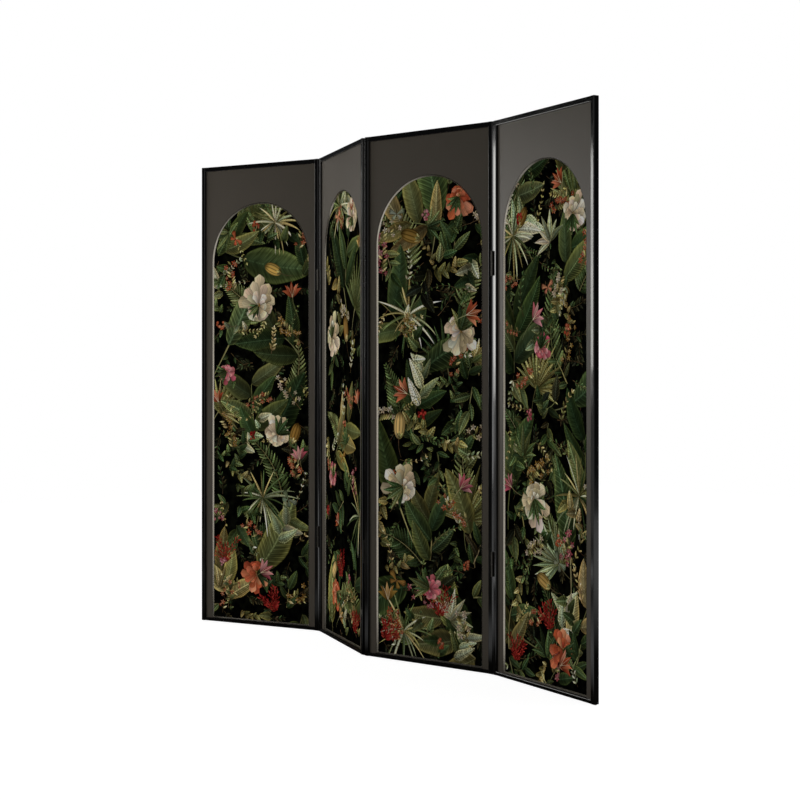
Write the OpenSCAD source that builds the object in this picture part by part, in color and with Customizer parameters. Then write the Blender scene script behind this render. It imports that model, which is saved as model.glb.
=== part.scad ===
// Four-panel folding screen: slim lacquered frames, a recessed mount board with a round-headed opening,
// a bevelled trim round the opening, a printed board behind it and lift-off hinges between the panels.
// Millimetres. The screen stands on z = 0, its run from the first panel's outer corner to the last one's
// lies along +X, its front faces -Y, and the origin is the middle of its footprint.

/* [Screen] */
// Height of the screen above the floor
panel_h = 1800; // [1500:1:2200]
// Width of one panel
panel_w = 550; // [400:1:700]

/* [Pose] */
// Turn between panels 1 and 2, away from a straight line, fronts folding together
fold_1_2 = 41.5; // [5:0.5:150]
// Turn between panels 2 and 3, away from a straight line, backs folding together
fold_2_3 = 31.5; // [5:0.5:150]
// Turn between panels 3 and 4, away from a straight line, fronts folding together
fold_3_4 = 21; // [5:0.5:150]

/* [Frame] */
// Width of a stile, seen from the front
stile_w = 16; // [14:0.5:30]
// Height of the top rail, seen from the front
top_rail_h = 17; // [12:0.5:40]
// Height of the bottom rail, seen from the front
bottom_rail_h = 12; // [11:0.5:40]
// Depth from the frame's face back to the mount board
recess = 8; // [6:0.5:14]
// How far the inner boards reach behind the frame's front lip
rebate_w = 6; // [4:0.5:7]
// Width of frame left showing round the back board
back_lip = 2.5; // [2:0.5:3]
// Rounding of the frame's long edges
edge_r = 2; // [0.5:0.25:2.5]
// Gap left round each board in its rebate
board_fit = 0.5; // [0.2:0.1:1]

/* [Boards] */
// Thickness of the mount board
mount_t = 5; // [4:0.5:8]
// Thickness of the printed board
decor_t = 4; // [3:0.5:8]
// Thickness of the back board
back_t = 3; // [2.5:0.5:6]

/* [Opening] */
// Mount board left showing between the panel's side and the opening, with the stile in front of part of it
arch_side = 46; // [35:1:90]
// Distance from the top of the panel to the crown of the opening
arch_top = 151; // [60:1:400]
// Shadow gap between the mount board and the trim
trim_gap = 1; // [0.4:0.1:2]
// Width of the trim, seen from the front
trim_w = 5; // [3:0.5:9]
// Width of the flat along the trim's outer edge
trim_land = 0.8; // [0.4:0.1:1.5]
// How far the trim's flat lies behind the mount board's face
trim_set = 0.5; // [0.2:0.1:1.5]

/* [Hinges] */
// Height of a hinge
hinge_h = 80; // [60:1:120]
// Distance from the top of the panel to the middle of the upper hinge
hinge_top = 462; // [100:1:650]
// Distance from the floor to the middle of the lower hinge
hinge_bottom = 360; // [100:1:650]
// Thickness of a hinge leaf
leaf_t = 1.5; // [1:0.1:2.5]
// Width of stile left bare beside a leaf, on the side away from its barrel
leaf_inset = 3; // [1:0.5:6]
// Gap between the two leaves of a hinge when its panels stand in line
leaf_gap = 0.5; // [0.3:0.1:1.5]
// Diameter of the hinge barrel
barrel_d = 6.5; // [5.5:0.1:9]
// Gap between the barrel and the faces of the panels
barrel_clear = 0.5; // [0.3:0.1:2]
// Gap between the two knuckles of a hinge
knuckle_gap = 0.6; // [0.3:0.1:2]
// Diameter of the hinge pin
pin_d = 3; // [2:0.1:4]
// Running clearance of the pin in the lifting knuckle, on the radius
pin_clear = 0.05; // [0.02:0.01:0.1]
// Clearance of the pin in the knuckle that holds it, on the radius
pin_fit = 0.01; // [0:0.01:0.02]

/* [Screws, dowels and glides] */
// Shank diameter of a hinge screw
leaf_screw_d = 2.8; // [2:0.1:3.5]
// Head diameter of a hinge screw
leaf_screw_head_d = 5.2; // [4.2:0.1:6]
// Length of a hinge screw
leaf_screw_l = 10; // [6:0.5:10]
// Spacing of the screws in a leaf
leaf_screw_pitch = 28; // [15:1:28]
// Shank diameter of a back screw
back_screw_d = 2.5; // [2:0.1:3]
// Head diameter of a back screw
back_screw_head_d = 4.8; // [4:0.1:5]
// Head height of a back screw
back_screw_head_h = 1.6; // [1:0.1:2]
// Length of a back screw
back_screw_l = 10; // [7:0.5:12]
// Distance from a stile's end to its first back screw
back_screw_end = 30; // [20:1:80]
// Number of back screws in a stile
back_screw_n = 4; // [2:1:4]
// Clearance of screws, nails and dowels in their holes, on the radius
hole_clear = 0.05; // [0.02:0.01:0.1]
// Diameter of a corner dowel
dowel_d = 4; // [3:0.5:5]
// Length of a corner dowel
dowel_l = 24; // [16:1:26]
// Diameter of a floor glide
glide_d = 9; // [7:0.5:10]
// Thickness of a floor glide, which is the gap under the frame
glide_t = 2; // [1:0.5:5]
// Diameter of a glide's nail
glide_nail_d = 2; // [1.5:0.1:3]
// Length of a glide's nail in the stile
glide_nail_l = 12; // [8:1:20]

/* [Hidden] */
$fn = 64;
JOINTS = ["1_2", "2_3", "3_4"];
PANEL_PIECES = ["left_stile", "right_stile", "top_rail", "bottom_rail", "mount_board", "arch_trim",
    "decor_panel", "back_panel", "back_screws", "corner_dowels", "glides"];
HINGE_PIECES = ["left_leaves", "right_leaves", "pins", "left_screws", "right_screws"];

// Cutting shapes run this far past the faces that they cut
over = 1;

// The boards stack up behind the lip, and the stack sets the depth of the panel
mount_y = recess;
decor_y = mount_y + mount_t;
back_y = decor_y + decor_t;
panel_t = back_y + back_t;

// The frame's outline and the width of frame behind the front lip
foot_z = glide_t;
back_stile_w = stile_w - rebate_w;

// The opening
arch_r = panel_w / 2 - arch_side;
arch_z = panel_h - arch_top - arch_r;
opening_z = foot_z + bottom_rail_h;
trim_y = mount_y + trim_set;
trim_r = arch_r - trim_gap;

// Hinges: the barrel stands in front of the faces that fold together
hinge_proud = barrel_d / 2 + barrel_clear;
joint_gap = 2 * leaf_t + leaf_gap;
knuckle_h = (hinge_h - knuckle_gap) / 2;
leaf_w = panel_t - leaf_inset;
leaf_screw_y = panel_t / 2;
hinge_zs = [hinge_bottom, panel_h - hinge_top];
leaf_screw_zs = [for (z = hinge_zs, k = [-1:1]) z + k * leaf_screw_pitch];

// Fixings
back_screw_x = max(
    (back_lip + back_stile_w) / 2,
    back_lip + board_fit + back_screw_head_d / 2 + 2 * hole_clear
);
back_screw_step = (panel_h - foot_z - 2 * back_screw_end) / (back_screw_n - 1);
back_screw_zs = [for (k = [0:back_screw_n - 1]) foot_z + back_screw_end + k * back_screw_step];
dowel_y = recess / 2;
dowel_zs = [foot_z + bottom_rail_h / 2, panel_h - top_rail_h / 2];
glide_x = max(back_stile_w, glide_d) / 2;
glide_y = panel_t / 2;

// Plan of the screen: each panel's own frame starts at its front left corner, and x runs along it
turns = [-fold_1_2, fold_2_3, -fold_3_4];
function front_barrel(j) = j != 1;
function heading(i) = i == 0 ? 0 : heading(i - 1) + turns[i - 1];
function turned(a, p) = [cos(a) * p.x - sin(a) * p.y, sin(a) * p.x + cos(a) * p.y];
function barrel_y(j) = front_barrel(j) ? -hinge_proud : panel_t + hinge_proud;
function axis_at(j) = start(j) + turned(heading(j), [panel_w + joint_gap / 2, barrel_y(j)]);
function start(i) = i == 0 ? [0, 0] : axis_at(i - 1) + turned(heading(i), [joint_gap / 2, -barrel_y(i - 1)]);

// The run from the first corner to the last lies along +X, and the footprint's middle is the origin
run_end = start(3) + turned(heading(3), [panel_w, 0]);
run_angle = atan2(run_end.y, run_end.x);
function on_run(i, p) = turned(-run_angle, start(i) + turned(heading(i), p));
corner_centres = [
    for (i = [0:3], x = [edge_r, panel_w - edge_r], y = [edge_r, panel_t - edge_r]) on_run(i, [x, y])
];
low = [for (k = [0:1]) min([for (c = corner_centres) c[k]]) - edge_r];
high = [for (k = [0:1]) max([for (c = corner_centres) c[k]]) + edge_r];
middle = (low + high) / 2;

module at_panel(i) {
    place = on_run(i, [0, 0]) - middle;
    translate([place.x, place.y, 0])
        rotate([0, 0, heading(i) - run_angle])
            children();
}

// Mirrors left and right, or front and back, within a panel
module other_side() {
    translate([panel_w, 0, 0]) mirror([1, 0, 0]) children();
}

module barrel_side(j) {
    if (front_barrel(j))
        children();
    else
        translate([0, panel_t, 0]) mirror([0, 1, 0]) children();
}

// Frame

// What a rounded edge takes off a square corner at the origin
module corner_waste() {
    difference() {
        translate([-over, -over]) square(edge_r + over);
        translate([edge_r, edge_r]) circle(edge_r);
        translate([edge_r, -over]) square(edge_r + over);
        translate([-over, edge_r]) square(edge_r + over);
    }
}

// Section of a frame member: x from the panel's outer edge inwards, y from its front face backwards
module member_section(w) {
    difference() {
        square([w, panel_t]);
        translate([w - rebate_w, recess]) square([rebate_w + over, panel_t]);
        translate([back_lip, back_y]) square([w, back_t + over]);
        corner_waste();
        translate([w, 0]) mirror([1, 0]) corner_waste();
        translate([0, panel_t]) mirror([0, 1]) corner_waste();
    }
}

module left_stile(screwed) {
    difference() {
        translate([0, 0, foot_z]) linear_extrude(panel_h - foot_z) member_section(stile_w);
        dowels(hole_clear, hole_clear);
        back_screw_row() countersunk(back_screw_d, back_screw_head_d, back_screw_head_h, back_screw_l, hole_clear);
        glide_nail(hole_clear);
        for (j = screwed)
            barrel_side(j) leaf_screws_at_left(hole_clear);
    }
}

module right_stile(screwed) {
    other_side() left_stile(screwed);
}

// A rail runs between the stiles, and each layer of its section reaches as far as the stiles leave room
module rail(h) {
    layers = [
        [0, recess, stile_w],
        [recess, back_y, back_stile_w],
        [back_y, panel_t, back_lip]
    ];
    difference() {
        for (layer = layers)
            translate([layer[2], 0, 0])
                rotate([90, 0, 90])
                    linear_extrude(panel_w - 2 * layer[2])
                        intersection() {
                            rotate(90) mirror([0, 1]) member_section(h);
                            translate([layer[0], 0]) square([layer[1] - layer[0], h]);
                        }
        children();
    }
}

module bottom_rail() {
    difference() {
        translate([0, 0, foot_z]) rail(bottom_rail_h);
        both_sides() dowels(hole_clear, hole_clear);
    }
}

module top_rail() {
    difference() {
        translate([0, 0, panel_h]) mirror([0, 0, 1]) rail(top_rail_h);
        both_sides() dowels(hole_clear, hole_clear);
    }
}

module both_sides() {
    children();
    other_side() children();
}

// Boards

// A flat shape drawn in x and z, given thickness t from the depth y backwards
module slab(y, t) {
    translate([0, y + t, 0]) rotate([90, 0, 0]) linear_extrude(t) children();
}

module board(y, t, edge_w, low_h, high_h) {
    edge = edge_w + board_fit;
    bottom = foot_z + low_h + board_fit;
    translate([edge, y, bottom])
        cube([panel_w - 2 * edge, t, panel_h - high_h - board_fit - bottom]);
}

module arch_outline(r, z) {
    translate([panel_w / 2, arch_z]) circle(r, $fn = 128);
    translate([panel_w / 2 - r, z]) square([2 * r, arch_z - z]);
}

module inner_board(y, t) {
    board(y, t, back_stile_w, bottom_rail_h - rebate_w, top_rail_h - rebate_w);
}

module mount_board() {
    difference() {
        inner_board(mount_y, mount_t);
        slab(mount_y - over, mount_t + 2 * over) arch_outline(arch_r, opening_z);
    }
}

module decor_panel() {
    inner_board(decor_y, decor_t);
}

module back_panel() {
    difference() {
        board(back_y, back_t, back_lip, back_lip, back_lip);
        both_sides()
            back_screw_row() countersunk(back_screw_d, back_screw_head_d, back_screw_head_h, back_screw_l, hole_clear);
    }
}

// The trim's face falls from its flat down to the printed board
function trim_inner_r(y) = trim_r - trim_land - (trim_w - trim_land) * (y - trim_y) / (decor_y - trim_y);

module trim_bevel() {
    front = trim_y - over;
    rear = decor_y + over;
    foot = opening_z + trim_gap + trim_r;
    translate([panel_w / 2, 0, arch_z])
        rotate([-90, 0, 0])
            rotate_extrude($fn = 128)
                polygon([[0, front], [trim_inner_r(front), front], [trim_inner_r(rear), rear], [0, rear]]);
    intersection() {
        translate([panel_w / 2, 0, opening_z])
            linear_extrude(arch_z - opening_z)
                polygon([
                    [-trim_inner_r(front), front],
                    [trim_inner_r(front), front],
                    [trim_inner_r(rear), rear],
                    [-trim_inner_r(rear), rear]
                ]);
        translate([arch_side, 0, 0])
            rotate([90, 0, 90])
                linear_extrude(2 * arch_r)
                    polygon([
                        [front, foot - trim_inner_r(front)],
                        [rear, foot - trim_inner_r(rear)],
                        [rear, arch_z],
                        [front, arch_z]
                    ]);
    }
}

module arch_trim() {
    difference() {
        slab(trim_y, decor_y - trim_y) arch_outline(trim_r, opening_z + trim_gap);
        trim_bevel();
    }
}

// Screws, dowels and glides

// A countersunk screw along -Z, its head's face at z = 0, larger all round by spare for its hole
module countersunk(shank_d, head_d, head_h, l, spare) {
    translate([0, 0, -head_h]) cylinder(h = head_h, r1 = shank_d / 2 + spare, r2 = head_d / 2 + spare);
    translate([0, 0, -l - spare]) cylinder(h = l + spare, r = shank_d / 2 + spare);
    if (spare > 0)
        cylinder(h = over, r = head_d / 2 + spare);
}

module screw(shank_d, head_d, head_h, l) {
    slot_w = head_d / 6;
    slot_depth = head_h / 2;
    difference() {
        countersunk(shank_d, head_d, head_h, l, 0);
        translate([-head_d, -slot_w / 2, -slot_depth]) cube([2 * head_d, slot_w, slot_depth + over]);
    }
}

module back_screw_row() {
    for (z = back_screw_zs)
        translate([back_screw_x, panel_t, z]) rotate([-90, 0, 0]) children();
}

module back_screws() {
    both_sides() back_screw_row() screw(back_screw_d, back_screw_head_d, back_screw_head_h, back_screw_l);
}

module dowels(spare, end_spare) {
    for (z = dowel_zs)
        translate([stile_w - dowel_l / 2 - end_spare, dowel_y, z])
            rotate([0, 90, 0])
                cylinder(h = dowel_l + 2 * end_spare, r = dowel_d / 2 + spare);
}

module corner_dowels() {
    both_sides() dowels(0, 0);
}

module glide_nail(spare) {
    translate([glide_x, glide_y, foot_z - spare]) cylinder(h = glide_nail_l + 2 * spare, r = glide_nail_d / 2 + spare);
}

module glides() {
    both_sides() {
        translate([glide_x, glide_y, 0]) cylinder(h = glide_t, r = glide_d / 2);
        glide_nail(0);
    }
}

// Hinges: both leaves lie on the stiles' outer edges, and each has one knuckle of the barrel

// The screws of a leaf at a panel's left end, pointing into the stile, or their holes
module leaf_screws_at_left(spare) {
    for (z = leaf_screw_zs)
        translate([-leaf_t, leaf_screw_y, z])
            rotate([0, -90, 0])
                if (spare > 0)
                    countersunk(leaf_screw_d, leaf_screw_head_d, leaf_t, leaf_screw_l, spare);
                else
                    screw(leaf_screw_d, leaf_screw_head_d, leaf_t, leaf_screw_l);
}

// A leaf at a panel's left end, with its knuckle between two heights above the hinge's foot
module leaf_at_left(z, knuckle_z, bore_r) {
    difference() {
        union() {
            translate([-leaf_t, 0, z]) cube([leaf_t, leaf_w, hinge_h]);
            translate([-leaf_t, -hinge_proud, z + knuckle_z]) cube([leaf_t, hinge_proud + over, knuckle_h]);
            translate([-joint_gap / 2, -hinge_proud, z + knuckle_z]) cylinder(h = knuckle_h, r = barrel_d / 2);
        }
        translate([-joint_gap / 2, -hinge_proud, z - over]) cylinder(h = hinge_h + 2 * over, r = bore_r);
        leaf_screws_at_left(hole_clear);
    }
}

// In the left panel's frame: its leaves are mirrored to its right end and hold the pins
module left_leaves(j) {
    barrel_side(j)
        other_side()
            for (z = hinge_zs)
                leaf_at_left(z - hinge_h / 2, 0, pin_d / 2 + pin_fit);
}

// In the right panel's frame: its leaves lift off and turn on the pins
module right_leaves(j) {
    barrel_side(j)
        for (z = hinge_zs)
            leaf_at_left(z - hinge_h / 2, hinge_h - knuckle_h, pin_d / 2 + pin_clear);
}

module pins(j) {
    barrel_side(j)
        for (z = hinge_zs)
            translate([panel_w + joint_gap / 2, -hinge_proud, z - hinge_h / 2]) cylinder(h = hinge_h, r = pin_d / 2);
}

module left_screws(j) {
    barrel_side(j) other_side() leaf_screws_at_left(0);
}

module right_screws(j) {
    barrel_side(j) leaf_screws_at_left(0);
}

// The stiles at a joint are drilled for its leaves, and the outer two are not
function joint_left_of(i) = i > 0 ? [i - 1] : [];
function joint_right_of(i) = i < 3 ? [i] : [];

module panel_piece(i, piece) {
    if (piece == "left_stile") color("#0d0c0c") left_stile(joint_left_of(i));
    if (piece == "right_stile") color("#0d0c0c") right_stile(joint_right_of(i));
    if (piece == "top_rail") color("#0d0c0c") top_rail();
    if (piece == "bottom_rail") color("#0d0c0c") bottom_rail();
    if (piece == "mount_board") color("#47423b") mount_board();
    if (piece == "arch_trim") color("#cdc8ba") arch_trim();
    if (piece == "decor_panel") color("#1c2a1a") decor_panel();
    if (piece == "back_panel") color("#191817") back_panel();
    if (piece == "back_screws") color("#2b2a29") back_screws();
    if (piece == "corner_dowels") color("#c39a62") corner_dowels();
    if (piece == "glides") color("#d8d6d0") glides();
}

module hinge_piece(j, piece) {
    if (piece == "left_leaves") color("#232120") at_panel(j) left_leaves(j);
    if (piece == "right_leaves") color("#232120") at_panel(j + 1) right_leaves(j);
    if (piece == "pins") color("#3a3836") at_panel(j) pins(j);
    if (piece == "left_screws") color("#2b2a29") at_panel(j) left_screws(j);
    if (piece == "right_screws") color("#2b2a29") at_panel(j + 1) right_screws(j);
}

for (i = [0:3], piece = PANEL_PIECES)
    at_panel(i) panel_piece(i, piece);

for (j = [0:2], piece = HINGE_PIECES)
    hinge_piece(j, piece);
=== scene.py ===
# %% [markdown]
# # A folding screen with printed panels
# This lesson dresses a finished set of solids: four tall frames on hinges, each with a mount board, a thin
# trim round an arched opening and a board behind it. The solids already have their true shape and place,
# so the work here is light, finishes and the picture printed on the boards.

# %% Load the solids
import math
import random

import bpy
import numpy as np
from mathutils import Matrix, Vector


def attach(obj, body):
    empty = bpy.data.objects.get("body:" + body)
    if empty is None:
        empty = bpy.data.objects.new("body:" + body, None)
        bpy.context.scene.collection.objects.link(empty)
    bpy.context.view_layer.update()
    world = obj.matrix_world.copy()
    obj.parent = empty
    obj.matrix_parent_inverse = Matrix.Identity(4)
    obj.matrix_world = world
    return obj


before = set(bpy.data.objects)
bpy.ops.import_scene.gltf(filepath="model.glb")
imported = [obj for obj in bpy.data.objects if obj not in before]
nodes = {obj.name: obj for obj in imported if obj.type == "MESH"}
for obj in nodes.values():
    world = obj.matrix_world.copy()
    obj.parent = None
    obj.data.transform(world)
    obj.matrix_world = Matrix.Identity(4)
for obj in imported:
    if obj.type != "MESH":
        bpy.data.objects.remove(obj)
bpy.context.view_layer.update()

# %% [markdown]
# ## Camera
# The photograph was taken from the right, at about half the screen's height, with the camera held level.
# Its place and lens were worked out from the corners of all four panels. A level camera keeps the uprights
# parallel, and a small shift moves the horizon to its place without tilting the camera.

# %% Set up the camera
IMAGE = 800
FOCAL_PIXELS = 1597.1
HORIZON_ROW = 376.84
lens = bpy.data.cameras.new("camera")
lens.sensor_width = 36
lens.lens = FOCAL_PIXELS / IMAGE * lens.sensor_width
lens.shift_y = (HORIZON_ROW - IMAGE / 2) / IMAGE
camera = bpy.data.objects.new("camera", lens)
camera.location = (4.3379, -3.5407, 0.9689)
camera.rotation_euler = (math.radians(90), 0, math.radians(140.474 - 90))
bpy.context.scene.collection.objects.link(camera)
bpy.context.scene.camera = camera
bpy.context.scene.view_settings.view_transform = "Standard"
print("lens", round(lens.lens, 1), "mm, shift", round(lens.shift_y, 4))

# %% [markdown]
# ## Helpers for materials
# A colour is written as the sRGB hex value that a colour picker shows, and Blender's shaders want linear
# light, so one function turns the one into the other. Another adds a node, gives it its settings and fills
# its inputs, either with a value or with another node's output. A third starts a material with the shader
# that nearly every finish uses.

# %% Colours, nodes and materials
def linear(code):
    parts = [int(code[k:k + 2], 16) / 255 for k in (1, 3, 5)]
    return [p / 12.92 if p <= 0.04045 else ((p + 0.055) / 1.055) ** 2.4 for p in parts] + [1.0]


def fill(tree, node, inputs):
    for key, value in inputs.items():
        if isinstance(value, bpy.types.NodeSocket):
            tree.links.new(value, node.inputs[key])
        else:
            node.inputs[key].default_value = value


def add_node(tree, kind, inputs=None, **settings):
    made = tree.nodes.new(kind)
    for key, value in settings.items():
        setattr(made, key, value)
    fill(tree, made, inputs or {})
    return made


def new_material(name):
    made = bpy.data.materials.new(name)
    made.use_nodes = True
    return made, made.node_tree, made.node_tree.nodes["Principled BSDF"]


print("mid grey in linear light:", round(linear("#808080")[0], 3))

# %% [markdown]
# ## A white studio, dark behind the camera
# The photograph's ground is pure white, but the black lacquer shows no white in it: it mirrors the dim room
# on the camera's side. So the world is white to the camera, and to mirror rays that leave towards the back,
# and dim to the others. Walls and cards round the screen could do this too, but they would show in the
# views from behind. Three parts of the room are less dark: the wall far to the left, the room around the
# camera, which the trims' bevels mirror, and a window at the right.

# %% Where a ray goes, and who sees it
def toward(tree, direction, way, low, high):
    """0 where a direction's likeness to the way, their dot product, is low, and 1 where it is high."""
    likeness = add_node(tree, "ShaderNodeVectorMath", {0: direction, 1: way}, operation="DOT_PRODUCT")
    nearness = add_node(
        tree, "ShaderNodeMapRange", {"Value": likeness.outputs["Value"], "From Min": low, "From Max": high},
        interpolation_type="SMOOTHSTEP")
    return nearness.outputs[0]


def ray_kinds(tree, white_place):
    """Whether the ray comes from a mirror, and whether it sees white: the camera's, or a mirror's there."""
    path = add_node(tree, "ShaderNodeLightPath")
    mirrored = add_node(
        tree, "ShaderNodeMath",
        {0: path.outputs["Is Glossy Ray"], 1: path.outputs["Is Transmission Ray"]}, operation="ADD")
    mirrored_white = add_node(
        tree, "ShaderNodeMath", {0: mirrored.outputs[0], 1: white_place}, operation="MULTIPLY")
    white = add_node(
        tree, "ShaderNodeMath",
        {0: path.outputs["Is Camera Ray"], 1: mirrored_white.outputs[0]}, operation="ADD", use_clamp=True)
    return mirrored.outputs[0], white.outputs[0]


BACKDROP = (-0.77, 0.64, 0.0)
# Each lighter part of the room: its direction, the likeness at its rim and at its full light, and its light.
# The window's light is above white, which no hex value can say
LEFT_WALL = ((-0.993, 0.06, -0.1), 0.972, 0.996, linear("#6b6963"))
CAMERA_SIDE = ((0.66, -0.75, 0.0), 0.64, 0.73, linear("#d6d5d2"))
RIGHT_WINDOW = ((0.97, -0.24, 0.0), 0.85, 1.05, (1.25, 1.24, 1.22, 1.0))
print("the backdrop lies at", BACKDROP)

# %% World
world = bpy.data.worlds.new("studio")
bpy.context.scene.world = world
world.use_nodes = True
tree = world.node_tree
tree.nodes.clear()
ray = add_node(tree, "ShaderNodeTexCoord").outputs["Generated"]
mirrored, white = ray_kinds(tree, toward(tree, ray, BACKDROP, 0.88, 0.98))
dim = linear("#343537")
for way, rim, full, light in (LEFT_WALL, CAMERA_SIDE, RIGHT_WINDOW):
    with_part = add_node(
        tree, "ShaderNodeMix", {"Factor": toward(tree, ray, way, rim, full), "A": dim, "B": light},
        data_type="RGBA")
    dim = with_part.outputs["Result"]
scattered = add_node(
    tree, "ShaderNodeMix",
    {"Factor": toward(tree, ray, (0.0, 1.0, 0.0), -0.1, 0.5), "A": linear("#5a5b5e"), "B": linear("#c0c2c6")},
    data_type="RGBA")
room = add_node(
    tree, "ShaderNodeMix", {"Factor": mirrored, "A": scattered.outputs["Result"], "B": dim}, data_type="RGBA")
colour = add_node(
    tree, "ShaderNodeMix", {"Factor": white, "A": room.outputs["Result"], "B": linear("#ffffff")},
    data_type="RGBA")
ground_light = add_node(tree, "ShaderNodeBackground", {"Color": colour.outputs["Result"], "Strength": 1.0})
add_node(tree, "ShaderNodeOutputWorld", {"Surface": ground_light.outputs[0]})
print("world nodes:", len(tree.nodes))

# %% [markdown]
# ### The paper floor
# The floor is white to the camera too, and takes a faint shadow. In the mirrors it is white in four parts
# only: well behind the screen, at the right in front, where the camera stands, along the screen's foot, less
# of it towards the left, and in a patch at the far left. Sheets of paper could lie there instead, but one
# floor has no edges for the lacquer to mirror. Each part is a product of fades along X and Y.

# %% White parts of the floor
# A fade is 0 at the first place along its axis and 1 at the second, in metres
BEHIND = (("Y", 0.3, 1.2),)
RIGHT_CORNER = (("X", 0.8, 1.3), ("Y", -0.2, -0.5))
FOOT = (("X", -1.3, 1.0), ("Y", -0.2, -0.5), ("Y", -1.25, -0.95))
LEFT_PATCH = (("X", -1.4, -1.65), ("X", -2.6, -2.3), ("Y", -0.75, -0.95), ("Y", -1.75, -1.5))


def inside_parts(tree, parts):
    """1 where the shaded place lies in one of the parts, and 0 away from them all."""
    place = add_node(tree, "ShaderNodeNewGeometry")
    axes = add_node(tree, "ShaderNodeSeparateXYZ", {0: place.outputs["Position"]}).outputs
    inside = 0.0
    for fades in parts:
        part = 1.0
        for axis, low, high in fades:
            fade = add_node(
                tree, "ShaderNodeMapRange", {"Value": axes[axis], "From Min": low, "From Max": high})
            product = add_node(tree, "ShaderNodeMath", {0: part, 1: fade.outputs[0]}, operation="MULTIPLY")
            part = product.outputs[0]
        inside = add_node(tree, "ShaderNodeMath", {0: inside, 1: part}, operation="MAXIMUM").outputs[0]
    return inside


print("the floor's foot strip fades along", [fade[0] for fade in FOOT])

# %% Floor
FLOOR = 7.0
floor_mesh = bpy.data.meshes.new("floor")
floor_mesh.from_pydata(
    [(-FLOOR, -FLOOR, 0), (FLOOR, -FLOOR, 0), (FLOOR, FLOOR, 0), (-FLOOR, FLOOR, 0)], [], [(0, 1, 2, 3)])
floor = bpy.data.objects.new("floor", floor_mesh)
bpy.context.scene.collection.objects.link(floor)
paper, tree, _ = new_material("white paper floor")
tree.nodes.clear()
mirrored, white = ray_kinds(tree, inside_parts(tree, (BEHIND, RIGHT_CORNER, FOOT, LEFT_PATCH)))
# Light that scatters off the floor is that of real paper, and only its mirror image is dull
unlit = add_node(
    tree, "ShaderNodeMix", {"Factor": mirrored, "A": linear("#e2e0db"), "B": linear("#52504c")},
    data_type="RGBA")
dull = add_node(tree, "ShaderNodeBsdfDiffuse", {"Color": unlit.outputs["Result"]})
lit = add_node(tree, "ShaderNodeBsdfDiffuse", {"Color": linear("#a0a0a0")})
glow = add_node(tree, "ShaderNodeEmission", {"Color": linear("#ffffff"), "Strength": 0.93})
bright = add_node(tree, "ShaderNodeAddShader", {0: lit.outputs[0], 1: glow.outputs[0]})
either = add_node(tree, "ShaderNodeMixShader", {0: white, 1: dull.outputs[0], 2: bright.outputs[0]})
add_node(tree, "ShaderNodeOutputMaterial", {"Surface": either.outputs[0]})
floor_mesh.materials.append(paper)
print("floor:", 2 * FLOOR, "m across")

# %% [markdown]
# ## Lamps
# The tall highlight on the last panel's stiles tells where the main softbox stands: mirrored in the panel's
# plane, it lies to the left, from about waist height up. It also rakes across the boards, so each left
# stile throws a soft shadow on the mount beside it. A wide lamp in front keeps the boards' own colours.

# %% Softboxes
def softbox(name, place, target, wide, high, level, mirrored=True, lights=True, colour=(1.0, 1.0, 1.0)):
    """A rectangular lamp that faces its target. Its level is the radiance of its face."""
    lamp = bpy.data.lights.new(name, "AREA")
    lamp.shape = "RECTANGLE"
    lamp.size = wide
    lamp.size_y = high
    lamp.energy = level * math.pi * wide * high
    lamp.color = colour
    holder = bpy.data.objects.new(name, lamp)
    holder.location = place
    holder.rotation_euler = (Vector(target) - Vector(place)).to_track_quat("-Z", "Y").to_euler()
    holder.visible_camera = False
    holder.visible_glossy = mirrored
    holder.visible_diffuse = lights
    bpy.context.scene.collection.objects.link(holder)
    print(name, "at", place, "radiance", level)


WARM = (1.0, 0.985, 0.95)
SIDE_X = -2.9
SIDE_WIDE = 1.3
# The side softbox fades out at its lower edge, so it is built of bands, and these are for mirrors only.
# Each band has its lower and upper edge, its place along Y and its level
SIDE_BANDS = (
    (1.02, 2.26, -1.45, 7.4), (0.86, 1.02, -1.3, 4.6), (0.5, 0.86, -1.3, 0.9), (0.05, 0.5, -1.45, 0.35))
for low, high, y, level in SIDE_BANDS:
    middle = (low + high) / 2
    softbox(f"side softbox from {low}", (SIDE_X, y, middle), (0.0, y, middle), SIDE_WIDE, high - low, level,
            lights=False, colour=WARM)
softbox("side key", (SIDE_X, -1.45, 0.95), (0.0, -1.45, 0.95), SIDE_WIDE, 1.8, 3.1, mirrored=False,
        colour=WARM)
softbox("front left softbox", (-2.2, -3.6, 1.0), (0.0, 0.0, 0.8), 1.6, 2.0, 6.5, mirrored=False)
# One behind the screen gives its back a sheen, and the front sees nothing of it
softbox("back softbox", (1.9, 2.8, 1.3), (0.0, 0.0, 0.9), 1.2, 1.8, 3.0)

# %% [markdown]
# ## Black gloss lacquer
# The frames are solid wood, sprayed with several coats of black lacquer and rubbed back. Lacquer is a clear
# hard film with an IOR near 1.5 over a colour that is nearly pure black. It could be a dark base under the
# shader's coat, but over so dark a base the film is all that shows, so one layer does. What gives it away is
# the mirror, a little soft and not quite even: a fine orange peel, very faint lines of the grain beneath, and
# a slow change of gloss where hands and cloths have rubbed it.

# %% Lacquer
MM = 0.001


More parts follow.
